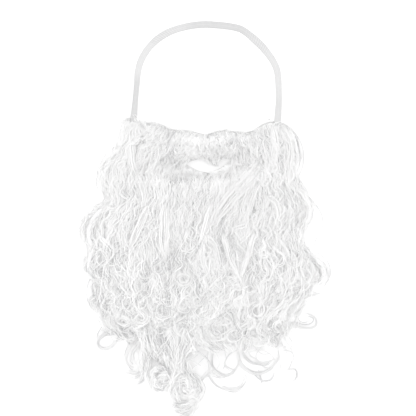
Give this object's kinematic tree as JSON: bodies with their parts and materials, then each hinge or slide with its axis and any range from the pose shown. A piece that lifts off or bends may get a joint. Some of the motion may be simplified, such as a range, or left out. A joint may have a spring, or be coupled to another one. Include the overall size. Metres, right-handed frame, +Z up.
{
  "type": "fake beard",
  "caption": "Long wavy white fake beard with a short moustache over a mouth opening, sewn to a cloth backing with a rolled top hem, worn with one flat elastic band over the head.",
  "frame": {"origin": "on the back of the cloth, under the chin, in the plane of the surface that it lies on", "axes": "+X to the viewer's right, +Y from the beard to the elastic band, +Z up from the surface, out of the hair's front"},
  "size_m": [0.3227, 0.5217, 0.0347],
  "materials": {
    "hair": "satin",
    "cloth": "matte",
    "elastic": "matte"
  },
  "bodies": {
    "root": {"backing_cloth": "cloth", "top_hem": "cloth", "elastic_band": "elastic", "moustache_hair": "hair", "beard_hair": "hair"}
  },
  "joints": []
}
